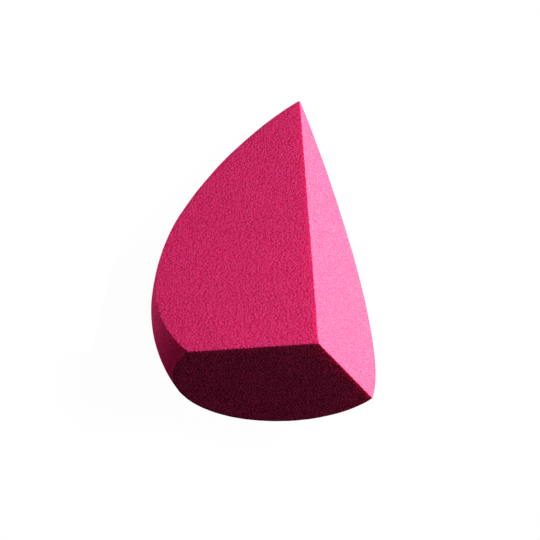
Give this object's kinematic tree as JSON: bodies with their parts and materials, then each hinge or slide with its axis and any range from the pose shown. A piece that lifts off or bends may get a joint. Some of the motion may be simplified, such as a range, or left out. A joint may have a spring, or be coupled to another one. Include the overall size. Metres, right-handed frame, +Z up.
{
  "type": "makeup sponge",
  "caption": "Faceted teardrop makeup sponge of soft pink foam, with a rounded back, flat front faces that meet in a ridge, a flat base and a pointed tip for fine blending.",
  "frame": {"origin": "centre of the part's box at the height of the surface that it lies on", "axes": "lying on its rounded back: +Y along the sponge towards its tip, +X to the right seen from the base, +Z up, towards the ridge between the front faces"},
  "size_m": [0.0456, 0.0618, 0.041],
  "materials": {
    "foam": "soft matte hot-pink foam with a fine open-cell grain"
  },
  "bodies": {
    "root": {"foam_sponge": "foam"}
  },
  "joints": []
}
